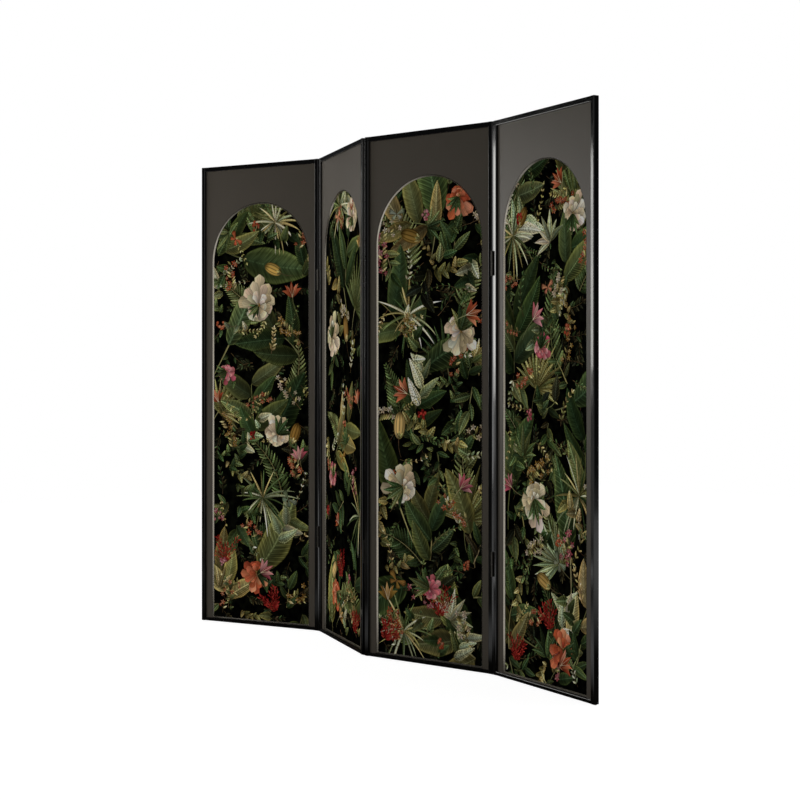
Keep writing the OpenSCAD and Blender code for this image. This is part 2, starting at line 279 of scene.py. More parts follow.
def lacquer(name, grain_turn=None):
    made, tree, shader = new_material(name)
    where = add_node(tree, "ShaderNodeTexCoord").outputs["Object"]
    # The grain's lines are 2.5 mm wide and 90 mm long, up a stile, and along a rail at the panel's own turn
    fine, long = 1 / (2.5 * MM), 1 / (90 * MM)
    scale, turn = (fine, fine, long), 0.0
    if grain_turn is not None:
        scale, turn = (long, fine, fine), -grain_turn
    along = add_node(
        tree, "ShaderNodeMapping", {"Vector": where, "Rotation": (0, 0, turn)}, vector_type="POINT")
    stretched = add_node(tree, "ShaderNodeVectorMath", {0: along.outputs[0], 1: scale}, operation="MULTIPLY")
    grain = add_node(
        tree, "ShaderNodeTexNoise", {"Vector": stretched.outputs[0], "Scale": 1.0, "Detail": 3.0})
    peel = add_node(tree, "ShaderNodeTexNoise", {"Vector": where, "Scale": 1 / (3.5 * MM), "Detail": 1.0})
    rubbed = add_node(tree, "ShaderNodeTexNoise", {"Vector": where, "Scale": 1 / (70 * MM), "Detail": 4.0})
    rough = add_node(
        tree, "ShaderNodeMapRange",
        {"Value": rubbed.outputs["Fac"], "From Min": 0.3, "From Max": 0.7, "To Min": 0.09, "To Max": 0.14})
    tone = add_node(
        tree, "ShaderNodeMix",
        {"Factor": grain.outputs["Fac"], "A": linear("#050505"), "B": linear("#0b0a09")}, data_type="RGBA")
    grain_bump = add_node(
        tree, "ShaderNodeBump", {"Height": grain.outputs["Fac"], "Strength": 0.1, "Distance": 0.02 * MM})
    bump = add_node(
        tree, "ShaderNodeBump",
        {"Height": peel.outputs["Fac"], "Strength": 0.1, "Distance": 0.02 * MM,
         "Normal": grain_bump.outputs[0]})
    fill(tree, shader, {
        "Base Color": tone.outputs["Result"], "Roughness": rough.outputs[0], "Normal": bump.outputs[0],
        "IOR": 1.5})
    return made


upright_lacquer = lacquer("black lacquer, grain upright")
print("made", upright_lacquer.name)

# %% [markdown]
# ## Where each panel stands
# Patterns and prints have to lie square on their panel, and each panel is turned. The angles could be
# written down here, but measured from the solids they can't be wrong. The printed board is a plain box, so
# its corners, seen from above, give the panel's own directions: the long edge is its width, the short one
# its thickness, and the middle of its front face is where the print's middle line goes.

# %% Panel directions
PANELS = (1, 2, 3, 4)


def stand(n):
    """A panel's horizontal direction, the way its front faces, its printed face's middle and its turn."""
    board = nodes[f"panel_{n}_decor_panel"]
    spots = sorted({(round(v.co.x, 6), round(v.co.y, 6)) for v in board.data.vertices})
    pairs = [Vector(b) - Vector(a) for a in spots for b in spots if a != b]
    longest = max(q.length for q in pairs)
    long_ones = [p for p in pairs if abs(p.length - longest) < 20 * MM and p.x > 0]
    thin = min(pairs, key=lambda p: p.length)
    # The corners' diagonal is nearly as long as the width, but only the width is square to the thickness
    square = Vector((thin.y, -thin.x)).normalized()
    along = max(long_ones, key=lambda p: abs(p.normalized().dot(square))).normalized()
    out = Vector((along.y, -along.x))
    middle = sum((Vector(s) for s in spots), Vector((0, 0))) / len(spots)
    face = middle + out * (thin.length / 2)
    return {"along": along, "out": out, "face": face, "turn": math.atan2(along.y, along.x)}


stands = {n: stand(n) for n in PANELS}
print("turns:", {n: round(math.degrees(s["turn"]), 2) for n, s in stands.items()})

# %% [markdown]
# ### Dressing a solid
# A solid keeps its shape and place and gets a finish in its material slots. The stiles share one lacquer,
# and each panel's rails have their own, whose grain is turned with the panel.

# %% Dress the frames
def dress(node, material):
    solid = nodes[node]
    solid.data.materials.clear()
    solid.data.materials.append(material)


for n in PANELS:
    rail_lacquer = lacquer(f"black lacquer, grain along panel {n}", stands[n]["turn"])
    for side in ("left", "right"):
        dress(f"panel_{n}_{side}_stile", upright_lacquer)
    for height in ("top", "bottom"):
        dress(f"panel_{n}_{height}_rail", rail_lacquer)
print("frame members dressed:", 4 * len(PANELS))

# %% [markdown]
# ## Sprayed boards
# The mount board is fibreboard, sprayed a warm dark grey and left satin, so it has no grain, only the fine
# stipple of the spray and a slow drift in tone. Satin paint has an IOR of about 1.5 and a roughness near 0.5.
# The stipple could be modelled, but it is a tenth of a millimetre deep, so a bump in the shader does it.

# %% Satin paint
def satin_paint(name, light, dark, roughness, stipple_mm, specular, flake=0.0):
    made, tree, shader = new_material(name)
    where = add_node(tree, "ShaderNodeTexCoord").outputs["Object"]
    # The tone drifts over about 160 mm
    drift = add_node(tree, "ShaderNodeTexNoise", {"Vector": where, "Scale": 1 / (160 * MM), "Detail": 3.0})
    stipple = add_node(
        tree, "ShaderNodeTexNoise", {"Vector": where, "Scale": 1 / (stipple_mm * MM), "Detail": 2.0})
    tone = add_node(
        tree, "ShaderNodeMix",
        {"Factor": drift.outputs["Fac"], "A": linear(dark), "B": linear(light)}, data_type="RGBA")
    rough = add_node(
        tree, "ShaderNodeMapRange",
        {"Value": stipple.outputs["Fac"], "To Min": roughness - 0.06, "To Max": roughness + 0.06})
    bump = add_node(
        tree, "ShaderNodeBump", {"Height": stipple.outputs["Fac"], "Strength": 0.25, "Distance": 0.15 * MM})
    fill(tree, shader, {
        "Base Color": tone.outputs["Result"], "Roughness": rough.outputs[0], "Normal": bump.outputs[0],
        "IOR": 1.5, "Specular IOR Level": specular, "Metallic": flake})
    return made


mount_paint = satin_paint("warm grey satin paint", "#4e4840", "#48433b", 0.42, 1.2, 0.15)
print("made", mount_paint.name)

# %% [markdown]
# ### The trim's metallic lacquer
# The trim is lacquered in a pale stone colour with fine aluminium flake in it, so it is part mirror: bright
# where its bevel mirrors the room and grey elsewhere. A plain pale paint would look alike on every panel, and
# this trim is bright on one side of an arch and dim on the other. The back board is black like the frame, but
# sprayed once and not polished, so it is satin and a little uneven.

# %% Trim lacquer, and the boards dressed
def trim_paint(n):
    """The trim's lacquer, with the narrow flat at its outer edge painted dark: painted shade for the shadow
    line there.
    """
    made = satin_paint(f"pale stone metallic lacquer, panel {n}", "#a7a195", "#9a9488", 0.27, 0.8, 0.5, 0.96)
    tree = made.node_tree
    base_colour = tree.nodes["Principled BSDF"].inputs["Base Color"]
    out = stands[n]["out"]
    where = add_node(tree, "ShaderNodeTexCoord")
    # The flat that faces the panel's front is picked out and painted near black: painted shade for the shadow
    # line between mount and trim
    flat = toward(tree, where.outputs["Normal"], (out.x, out.y, 0.0), 0.9, 0.98)
    painted = add_node(
        tree, "ShaderNodeMix",
        {"Factor": flat, "A": base_colour.links[0].from_socket, "B": linear("#1c1b19")}, data_type="RGBA")
    tree.links.new(painted.outputs["Result"], base_colour)
    return made


back_paint = satin_paint("black satin paint", "#383430", "#0f0e0d", 0.42, 2.2, 0.4)
for n in PANELS:
    dress(f"panel_{n}_mount_board", mount_paint)
    dress(f"panel_{n}_arch_trim", trim_paint(n))
    dress(f"panel_{n}_back_panel", back_paint)
print("boards and trims dressed:", 3 * len(PANELS))

# %% [markdown]
# ## Small metal and the hidden pieces
# The hinges and screws are steel, blackened in a hot salt bath, which leaves a dark oxide skin with a dull
# shine where fingers rub it. The back's screws are driven last, and the driver has rubbed their heads
# brighter. The pins are bare turned steel. Dowels are pale sanded beech, and glides are moulded nylon, milky
# and a little glossy. All of these are small, so one noise is enough for each, and no scratches are drawn.

# %% Steel, beech and nylon
def steel(name, light, dark, roughness):
    made, tree, shader = new_material(name)
    where = add_node(tree, "ShaderNodeTexCoord").outputs["Object"]
    # The oxide skin's patches are about 6 mm across
    skin = add_node(tree, "ShaderNodeTexNoise", {"Vector": where, "Scale": 1 / (6 * MM), "Detail": 4.0})
    tone = add_node(
        tree, "ShaderNodeMix",
        {"Factor": skin.outputs["Fac"], "A": linear(dark), "B": linear(light)}, data_type="RGBA")
    rough = add_node(
        tree, "ShaderNodeMapRange",
        {"Value": skin.outputs["Fac"], "To Min": roughness - 0.1, "To Max": roughness + 0.1})
    fill(tree, shader, {"Base Color": tone.outputs["Result"], "Roughness": rough.outputs[0], "Metallic": 1.0})
    return made


black_steel = steel("blackened steel", "#4e4b47", "#393734", 0.4)
rubbed_steel = steel("blackened steel, rubbed by the driver", "#a09c96", "#6e6a65", 0.35)
bare_steel = steel("turned steel pin", "#94918d", "#83807c", 0.3)
beech = satin_paint("plain beech", "#c9a273", "#b58c5c", 0.6, 2.0, 0.3)
nylon = satin_paint("nylon", "#d9d7d0", "#d2cfc8", 0.45, 3.0, 0.4)
for n in PANELS:
    dress(f"panel_{n}_back_screws", rubbed_steel)
    dress(f"panel_{n}_corner_dowels", beech)
    dress(f"panel_{n}_glides", nylon)
for joint in ("1_2", "2_3", "3_4"):
    for piece in ("left_leaves", "right_leaves", "left_screws", "right_screws"):
        dress(f"hinge_{joint}_{piece}", black_steel)
    dress(f"hinge_{joint}_pins", bare_steel)
print("small parts dressed")

# %% [markdown]
# ## The printed picture
# Behind each opening lies a dark botanical print. Broad leaves, ferns, palm fans, grasses and small blossoms
# crowd a black ground, in olive, sage, khaki and cream with some coral and red. Shader nodes alone could draw
# it, but leaves that cross and curl need an order from back to front, and cut sheets have one. Ink has no
# thickness to see, so the sheets are very thin and lie a fiftieth of a millimetre apart, like paper collage.
# Every sheet is built from one shape, a blade along a curved spine, because leaves, petals and fronds are
# all blades.

# %% Sizes in the picture
# All in millimetres on the panel: the arch's springing line and radius, the opening's foot, a cell of the
# grid that counts the sheets, the spacing of the probes that find a sheet's cells, the first sheet's height
# above the board and the step from each sheet to the next
ARCH_Z = 1420.0
ARCH_R = 223.4
FOOT_Z = 19.7
CELL = 5.0
PROBE = 4
FIRST_LIFT = 0.05
STEP = 0.02
# The grid's cells across and up, and which of them lie at the panel's middle and foot
CELLS_ACROSS, CELLS_UP = 110, 380
MIDDLE_CELL, FOOT_CELL = 55, 5


def cell_at(x, y):
    return int(x / CELL + MIDDLE_CELL), int(y / CELL + FOOT_CELL)


print("the picture's grid has", CELLS_ACROSS * CELLS_UP, "cells of", CELL, "mm")

# %% [markdown]
# ### Layers
# Sheets on one layer would flicker where they cross, so each lies above all that it covers. A grid keeps
# count of the layers. That is much quicker than looking for crossings between shapes, and where it counts one
# layer too many, it costs a fiftieth of a millimetre.

# %% A picture and its layers
class Picture:
    """A panel's sheets: their points and faces, what the inks read at each point, and the layers so far."""

    def __init__(self, seed):
        self.rng = random.Random(seed)
        self.points = []
        self.faces = []
        self.kinds = []
        self.lie = []
        self.part = []
        self.ink = []
        self.heights = np.zeros((CELLS_ACROSS, CELLS_UP), dtype=int)

    def level(self, rows):
        """The first free layer above all that the rows of points cover, taken for them."""
        cells = set()
        for (a, b) in zip(rows[:-1], rows[1:]):
            for (p, q, r, s) in zip(a[:-1], a[1:], b[:-1], b[1:]):
                across = 1 + int(max(math.dist(p, q), math.dist(r, s)) / PROBE)
                up = 1 + int(max(math.dist(p, r), math.dist(q, s)) / PROBE)
                for i in range(across + 1):
                    for j in range(up + 1):
                        f, g = i / across, j / up
                        x = (p[0] * (1 - f) + q[0] * f) * (1 - g) + (r[0] * (1 - f) + s[0] * f) * g
                        y = (p[1] * (1 - f) + q[1] * f) * (1 - g) + (r[1] * (1 - f) + s[1] * f) * g
                        cells.add(cell_at(x, y))
        cells = [(i, j) for i, j in cells if 0 <= i < CELLS_ACROSS and 0 <= j < CELLS_UP]
        if not cells:
            return None
        i, j = np.array(cells).T
        top = int(self.heights[i, j].max()) + 1
        self.heights[i, j] = top
        return top


trial = Picture(0)
square = [[(0, 400), (9, 400)], [(0, 409), (9, 409)]]
print("two sheets in one place take the layers", trial.level(square), "and", trial.level(square))

# %% [markdown]
# ### Trimming to the arch
# A sheet that runs past the opening is cut along the trim's inner foot. A Boolean modifier could do it, but
# it is slow on so many thin sheets and may lose some. The opening is convex, so each face is cut by straight
# lines, one after the other, and what is left on the inner side is kept.

# %% Cutting lines
def cut_lines(count=48):
    lines = [((1, 0), ARCH_R), ((-1, 0), ARCH_R), ((0, -1), -FOOT_Z)]
    for k in range(count + 1):
        a = math.pi * k / count
        out = (math.cos(a), math.sin(a))
        lines.append((out, ARCH_R + out[1] * ARCH_Z))
    return lines


LINES = cut_lines()


def trimmed(corners):
    """A face's corners, each (x, z, other values...), cut to the opening."""
    for (out, reach) in LINES:
        over = [c[0] * out[0] + c[1] * out[1] - reach for c in corners]
        if max(over) <= 0:
            continue
        kept = []
        for k, c in enumerate(corners):
            d, before = over[k], over[k - 1]
            if (d > 0) != (before > 0):
                f = before / (before - d)
                kept.append([p + (q - p) * f for p, q in zip(corners[k - 1], c)])
            if d <= 0:
                kept.append(c)
        corners = kept
        if len(corners) < 3:
            return []
    return corners


print("cutting lines:", len(LINES))

# %% [markdown]
# ### Laying one sheet
# A sheet is a grid of points with faces between them. It takes the first free layer above all that it covers,
# and a tone, a tint and a luck of its own. Its kind says which ink draws it.

# %% Laying a grid of points as one sheet
KINDS = ("leaf", "net", "petal", "ribbed", "line")


def lay(picture, rows, values, ink, kind):
    """rows are lists of (x, z), values are lists of (along, across, t, v), alike in shape."""
    top = picture.level(rows)
    if top is None:
        return
    # Leaves range from deep in shade to lit, flowers are all lit
    tone = picture.rng.uniform(0.72 if kind in ("petal", "ribbed") else 0.4, 1.25)
    tint = [c * tone * picture.rng.uniform(0.92, 1.08) for c in linear(ink)[:3]]
    luck = picture.rng.random()
    grid = [[[*p, *w] for p, w in zip(row, value)] for row, value in zip(rows, values)]
    index = {}
    for i in range(len(grid) - 1):
        for j in range(len(grid[0]) - 1):
            corners = trimmed([grid[i][j], grid[i + 1][j], grid[i + 1][j + 1], grid[i][j + 1]])
            face = []
            for c in corners:
                key = (round(c[0], 3), round(c[1], 3))
                if key not in index:
                    index[key] = len(picture.points)
                    picture.points.append((c[0], c[1], FIRST_LIFT + top * STEP))
                    picture.lie.append((c[2] * MM, c[3] * MM, luck))
                    picture.part.append((c[4], c[5], luck))
                    picture.ink.append((*tint, 1.0))
                if index[key] not in face:
                    face.append(index[key])
            if len(face) > 2:
                picture.faces.append(face)
                picture.kinds.append(KINDS.index(kind))


print("kinds of sheet:", KINDS)

# %% [markdown]
# ### The blade
# A blade has a root, a direction, a length, a width and a bend. Its outline comes from a shape rule along
# the spine: a lance is widest a third of the way up, an oval in the middle, a heart near its root with lobes
# swept back. Each rule gives the width, as a share of the widest, for a share of the way along.

# %% Shapes and spines
# Random directions are drawn from this range, in radians
ANY_WAY = (0, 6.3)
SHAPES = {
    "lance": lambda t: math.sin(math.pi * t ** 0.72) ** 0.95,
    "broad": lambda t: math.sin(math.pi * t ** 0.85) ** 0.68 * (1.08 - 0.3 * t),
    "oval": lambda t: math.sqrt(max(0.0, 4 * t * (1 - t))),
    "heart": lambda t: max(0.0, 1 - t) ** 0.62 * min(1.0, 0.35 + 3.2 * t),
    "drop": lambda t: math.sin(math.pi * t ** 1.7) ** 0.8,
    "strap": lambda t: min(1.0, 8 * t + 0.35) * (1 - t ** 3),
    "fan": lambda t: min(1.0, 0.12 + t ** 1.15) * math.sqrt(1 - max(0.0, (t - 0.72) / 0.28) ** 2),
}


def spine(root, turn, length, bend, steps):
    """Points along a curve that turns by bend radians in all, and its direction at each."""
    x, y = root
    found = []
    for k in range(steps + 1):
        a = turn + bend * k / steps
        found.append((x, y, a))
        x += math.cos(a + bend / steps / 2) * length / steps
        y += math.sin(a + bend / steps / 2) * length / steps
    return found


def around(middle, a, r):
    """The place at an angle and a distance from a middle."""
    return middle[0] + math.cos(a) * r, middle[1] + math.sin(a) * r


print("blade shapes:", sorted(SHAPES))

# %% [markdown]
# ### Three kinds of sheet
# Everything in the picture is a blade, a line or a disc. A blade has three rows of points, left margin, rib
# and right margin, and a ruffle makes the margins wave. Each point keeps where it lies on its blade, which
# the inks draw the veins and the shading from.

# %% Blades, lines and discs
def blade(picture, root, turn, length, width, ink, kind="leaf", shape="lance", bend=0.0, steps=7, sweep=0.0,
          ruffle=0.0, coarse=1.0):
    rule = SHAPES[shape]
    rows, values = [], []
    phase = picture.rng.uniform(*ANY_WAY)
    for k, (x, y, a) in enumerate(spine(root, turn, length, bend, steps)):
        t = k / steps
        half = width / 2 * rule(min(t, 0.999))
        back = sweep * width * (1 - t) ** 2
        row, value = [], []
        for v in (-1, 0, 1):
            side = v * half * (1 + ruffle * math.sin(phase + 2 * v + 17 * t))
            shift = -back * v * v
            row.append((
                x + math.cos(a) * shift - math.sin(a) * side,
                y + math.sin(a) * shift + math.cos(a) * side))
            value.append((t * length / coarse, side / coarse, t, float(v)))
        rows.append(row)
        values.append(value)
    lay(picture, rows, values, ink, kind)


def line(picture, root, turn, length, thick, ink, bend=0.0, steps=8):
    """A stem, which tapers towards its tip."""
    rows, values = [], []
    for k, (x, y, a) in enumerate(spine(root, turn, length, bend, steps)):
        t = k / steps
        half = thick / 2 * (1 - 0.6 * t)
        rows.append([(x - math.sin(a) * half * s, y + math.cos(a) * half * s) for s in (-1, 1)])
        values.append([(t * length, half * s, t, s * 0.5) for s in (-1, 1)])
    lay(picture, rows, values, ink, "line")


def disc(picture, middle, radius, ink, sides=9):
    rows, values = [], []
    ring = [2 * math.pi * s / sides for s in range(sides + 1)]
    for k in range(3):
        r = radius * k / 2
        rows.append([around(middle, a, r) for a in ring])
        # Lit from the upper left, and darker towards its rim
        values.append([(r, 0.0, 1 - k / 2 * 0.8, 0.5 * math.cos(a - 2.2) * k / 2) for a in ring])
    lay(picture, rows, values, ink, "petal")


trial = Picture(1)
blade(trial, (0, 400), 1.2, 120, 40, "#557744")
print("a leaf has", len(trial.faces), "faces")

# %% [markdown]
# ### Inks, twigs and ferns
# Each plant is a small rule that lays blades along a spine. A twig has pairs of small leaves, and a fern is a
# spine with pairs of leaflets that grow and shrink. The inks are chosen by plant, and each sheet varies in
# tone, as hand-drawn plates do.

# %% Twigs and ferns
DIM = ("#1e2218", "#272a1d", "#1b2019", "#2d2b1e")
DEEP = ("#3a4d31", "#4a5b3a", "#32432b", "#5a6542")
OLIVE = ("#7f7c50", "#8f8859", "#6d6f48", "#a0976a")
SAGE = ("#a5ad92", "#8d997b", "#bdc2a8", "#7b8b6d")
KHAKI = ("#b5a577", "#9e8f64", "#c9b68c", "#8a7f54")
BARK = ("#5c4832", "#6f583c", "#483b29")


def sprig(picture, root, turn, length, inks, leaf, pairs=5, bend=0.5, wide=0.42):
    rng = picture.rng
    line(picture, root, turn, length, 2.0, rng.choice(BARK), bend)
    for k, (x, y, a) in enumerate(spine(root, turn, length, bend, pairs)[1:]):
        for side in (-1, 1):
            size = leaf * rng.uniform(0.7, 1.15) * (1 - 0.35 * k / pairs)
            blade(picture, (x, y), a + side * rng.uniform(0.55, 1.0), size, size * wide, rng.choice(inks),
                  steps=4)
    blade(picture, (x, y), a, leaf * 0.8, leaf * 0.8 * wide, rng.choice(inks), steps=4)


def fern(picture, root, turn, length, reach, inks, bend, pairs=18):
    rng = picture.rng
    ink = rng.choice(inks)
    for k, (x, y, a) in enumerate(spine(root, turn, length, bend, pairs)):
        t = k / pairs
        size = reach * (0.35 + 0.65 * math.sin(math.pi * min(1, 0.25 + 0.75 * t))) * (1 - 0.55 * t)
        for side in (-1, 1):
            blade(picture, (x, y), a + side * (1.15 - 0.35 * t), size, 4.5 + size * 0.13, ink,
                  bend=-side * 0.35, steps=4)
    line(picture, root, turn, length, 3.0, rng.choice(OLIVE), bend, 12)


print("green inks:", len(DEEP + OLIVE + SAGE + DIM + KHAKI))

# %% [markdown]
# ### Fans, canes and broad leaves
# A palm fan is a spray of straps, and a hand is one of fewer, wider leaves. A cane carries big leaves by
# turns on both sides, and a plantain is one very big leaf with coarse veins.

# %% Fans, canes and broad leaves
def palm(picture, root, turn, reach, inks, blades=15, spread=2.7):
    rng = picture.rng
    ink = rng.choice(inks)
    for k in range(blades):
        f = k / (blades - 1) - 0.5
        size = reach * (1 - 0.5 * abs(f)) * rng.uniform(0.92, 1.05)
        blade(picture, root, turn + f * spread, size, 8 + reach * 0.055, ink, bend=f * 0.5, steps=7)
    line(picture, root, turn + math.pi, reach * 0.5, 4.0, rng.choice(OLIVE), 0.4)


def hand(picture, root, turn, reach, inks, leaves=7, spread=2.6, wide=0.26):
    rng = picture.rng
    for k in sorted(range(leaves), key=lambda k: -abs(k - (leaves - 1) / 2)):
        f = k / (leaves - 1) - 0.5
        size = reach * rng.uniform(0.8, 1.1) * (1 - 0.35 * abs(f))
        blade(picture, root, turn + f * spread, size, size * wide, rng.choice(inks), bend=f * 0.9, steps=10)


def cane(picture, root, turn, length, inks, leaf, leaves, wide, bend, kind="leaf", shape="broad"):
    rng = picture.rng
    line(picture, root, turn, length, 6.0, rng.choice(OLIVE), bend, 12)
    side = rng.choice((-1, 1))
    for x, y, a in reversed(spine(root, turn, length, bend, leaves)):
        side = -side
        size = leaf * rng.uniform(0.75, 1.15)
        curl = side * rng.uniform(-0.5, 0.3)
        blade(picture, (x, y), a + side * rng.uniform(0.45, 1.15), size,
              size * wide * rng.uniform(0.85, 1.15), rng.choice(inks), kind, shape, curl, 13, ruffle=0.035)


def plantain(picture, root, turn, length, inks, wide, bend):
    rng = picture.rng
    line(picture, root, turn + math.pi, length * 0.5, 7.0, rng.choice(OLIVE), -bend / 2)
    blade(picture, root, turn, length, length * wide, rng.choice(inks), "leaf", "broad", bend, 22,
          sweep=0.06, ruffle=0.03, coarse=rng.uniform(1.7, 2.4))


print("broad leaves are", SHAPES["broad"](0.4), "of their width across at 0.4 of their length")

# %% [markdown]
# ### Vines and grasses
# A vine has heart-shaped leaves by turns on a winding stem. Grass is a tuft of straps round one root, which
# droop to both sides.

# %% Vines and grasses
def vine(picture, root, turn, length, inks, leaf, leaves, bend=1.2):
    rng = picture.rng
    line(picture, root, turn, length, 2.6, rng.choice(BARK), bend, 14)
    for k, (x, y, a) in enumerate(spine(root, turn, length, bend, leaves)):
        side = 1 if k % 2 else -1
        size = leaf * rng.uniform(0.65, 1.15)
        blade(picture, (x, y), a + side * rng.uniform(0.7, 1.2), size, size * 0.85, rng.choice(inks),
              shape="heart", sweep=0.25, steps=8)


def grass(picture, root, reach, inks, blades=22):
    rng = picture.rng
    for k in range(blades):
        turn = 2 * math.pi * k / blades + rng.uniform(-0.15, 0.15)
        blade(picture, root, turn, reach * rng.uniform(0.6, 1.1), rng.uniform(6, 11), rng.choice(inks),
              shape="strap", bend=-math.cos(turn) * rng.uniform(0.3, 0.9), steps=9)


grass(trial, (0, 700), 150, OLIVE)
print("with a tuft of grass the trial has", len(trial.faces), "faces")

# %% [markdown]
# ### Blossoms
# A flower seen square from the front looks like a badge. Here each bloom leans away: its petals are shorter
# on the far side, and a tuft of stamens stands in the middle. Most of the colour comes from sprays of small
# stars, as on a real hedge in flower.

# %% Blooms, stars and sprays
CREAM = ("#fbe6c2", "#efd8b0", "#fff2da", "#d9c29a")
CORAL = ("#e2805a", "#d16a45", "#ee9d74", "#bd583a")
RED = ("#c23a33", "#a52d28", "#d84d40", "#87231f")
PINK = ("#dd7a80", "#c05a66", "#eba3a1")
OCHRE = ("#cda35b", "#b08540", "#e0bb78", "#967038")
# A bloom's rings of petals, each with its size and how many petals it has
RINGS = ((1.0, 9), (0.8, 8), (0.6, 7), (0.4, 5))


def bloom(picture, middle, radius, inks, lean, wide=0.66):
    rng = picture.rng
    for scale, petals in RINGS:
        start = rng.uniform(*ANY_WAY)
        for k in range(petals):
            a = start + 2 * math.pi * k / petals + rng.uniform(-0.2, 0.2)
            size = radius * scale * rng.uniform(0.82, 1.12) * (1 - 0.32 * math.cos(a - lean))
            blade(picture, middle, a, size, radius * scale * wide, rng.choice(inks), "petal", "fan",
                  rng.uniform(-0.35, 0.35), 9, ruffle=0.1)
    for _ in range(9):
        a, r = rng.uniform(*ANY_WAY), radius * 0.14 * rng.random()
        disc(picture, around(middle, a, r), radius * 0.035, rng.choice(OCHRE))


def star(picture, middle, radius, inks, petals=5):
    rng = picture.rng
    start = rng.uniform(*ANY_WAY)
    for k in range(petals):
        blade(picture, middle, start + 2 * math.pi * k / petals, radius * rng.uniform(0.8, 1.1),
              radius * 0.5, rng.choice(inks), "petal", steps=4)
    disc(picture, middle, radius * 0.15, rng.choice(CREAM), sides=7)


def spray(picture, root, turn, length, inks, flowers, bend, size):
    rng = picture.rng
    line(picture, root, turn, length, 2.2, rng.choice(BARK), bend, 10)
    for x, y, a in spine(root, turn, length, bend, flowers)[1:]:
        side = rng.choice((-1, 1))
        reach = rng.uniform(8, 28)
        line(picture, (x, y), a + side, reach, 1.6, rng.choice(BARK), steps=3)
        if rng.random() < 0.6:
            blade(picture, (x, y), a - side * 0.9, size * 2.0, size * 0.8, rng.choice(OLIVE), steps=4)
        star(picture, around((x, y), a + side, reach), size * rng.uniform(0.7, 1.2), inks)


print("a bloom has", sum(petals for _, petals in RINGS), "petals")

# %% [markdown]
# ### Lilies and plumes
# A lily is seen from the side: five lances in a cup, the middle one in front, with three stamens. A plume is
# a brush of very small petals on a few hidden stems.

# %% Lilies and plumes
def lily(picture, root, turn, reach, inks):
    rng = picture.rng
    line(picture, root, turn + math.pi, reach * 1.3, 3.0, rng.choice(OLIVE), 0.5)
    for f in (-1.0, 1.0, -0.55, 0.55, 0.0):
        blade(picture, root, turn + f * 0.5, reach * (1 - 0.1 * abs(f)), reach * 0.3, rng.choice(inks),
              "petal", "lance", f * 0.95, 9)
    for f in (-0.25, 0.0, 0.25):
        line(picture, root, turn + f, reach * 0.85, 1.6, CREAM[1], f, 5)


def plume(picture, root, turn, length, inks, bend=0.3, stems=5):
    rng = picture.rng
    for s in range(stems):
        way = turn + (s - (stems - 1) / 2) * 0.32
        for x, y, a in spine(root, way, length * rng.uniform(0.7, 1.1), bend * rng.uniform(-1, 1), 12):
            for side in (-1, 1):
                size = rng.uniform(11, 24)
                blade(picture, (x, y), a + side * rng.uniform(0.25, 0.9), size, size * 0.22,
                      rng.choice(inks), "petal", "drop", steps=3)


print("flower inks:", len(CREAM + CORAL + RED + PINK + OCHRE))

# %% [markdown]
# ### Berries, pods and butterflies
# These are the accents. Berries are a cluster of small discs, a pod is a ribbed oval with three little
# leaves at its root, and a butterfly is four ribbed fans, the hind wings first, with a thin body over them.

# %% Berries, pods and butterflies
def berries(picture, middle, inks, count=12, size=6):
    rng = picture.rng
    for _ in range(count):
        a, r = rng.uniform(*ANY_WAY), size * 2.9 * math.sqrt(rng.random())
        disc(picture, around(middle, a, r), size * rng.uniform(0.7, 1.1), rng.choice(inks))


def pod(picture, root, turn, length, inks):
    rng = picture.rng
    line(picture, root, turn + math.pi, length * 0.7, 3.0, rng.choice(BARK), 0.6)
    blade(picture, root, turn, length, length * 0.55, rng.choice(inks), "ribbed", "oval", 0.15, 12)
    for f in (-0.6, 0.0, 0.6):
        blade(picture, root, turn + f, length * 0.3, length * 0.14, rng.choice(OLIVE), steps=5)


def butterfly(picture, middle, turn, reach, inks):
    rng = picture.rng
    ink = rng.choice(inks)
    for side in (-1, 1):
        blade(picture, middle, turn + side * 2.1, reach * 0.68, reach * 0.5, ink, "ribbed", "fan",
              side * 0.35, 7)
        blade(picture, middle, turn + side * 1.05, reach, reach * 0.6, ink, "ribbed", "fan", side * 0.3, 8)
    tail = (middle[0] - math.cos(turn) * reach * 0.3, middle[1] - math.sin(turn) * reach * 0.3)
    blade(picture, tail, turn, reach * 0.55, reach * 0.1, BARK[0], "petal", "oval", steps=5)


butterfly(trial, (0, 900), 1.5, 40, OCHRE)
print("with a butterfly the trial has", len(trial.faces), "faces")

# %% [markdown]
# ### Planting a panel
# The picture is planted from the back forwards. Plain random places would leave clumps and holes, so each
# group's places are spread out by taking, of several random places, the one farthest from the group's others.
# Filling plants go where little lies yet.

# %% Places to plant
# How crowded each panel's picture is
CROWD = {1: 0.72, 2: 0.4, 3: 0.86, 4: 0.94}
UP = math.pi / 2


def places(rng, count, low=30, high=1630, wide=205, tries=14):
    """Spread places in the opening, between two heights and so far to either side."""
    found = []
    for _ in range(count):
        options = [(rng.uniform(-wide, wide), rng.uniform(low, high)) for _ in range(tries)]
        options = [p for p in options if p[1] < ARCH_Z or math.hypot(p[0], p[1] - ARCH_Z) < ARCH_R - 12]
        options = options or [(0, ARCH_Z)]
        found.append(max(options, key=lambda p: min([math.dist(p, q) for q in found] or [0])))
    return found


def bare(picture, tries=40, reach=7):
    """A spot with little on it: of several places, the one whose surroundings carry the fewest layers."""
    def layers(p):
        i, j = cell_at(*p)
        around_it = picture.heights[max(0, i - reach):i + reach, max(0, j - reach):j + reach]
        return np.minimum(around_it, 3).mean()

    return min(places(picture.rng, tries, tries=1), key=layers)


def some(n, count):
    """How many of a plant a panel gets, from how many a full one has."""
    return max(1, round(count * CROWD[n]))


print("twigs on each panel:", {n: some(n, 70) for n in PANELS})

# %% [markdown]
# ### The back of the picture
# First come dim twigs over the whole ground, then ferns and palm fans, then canes and big single leaves.

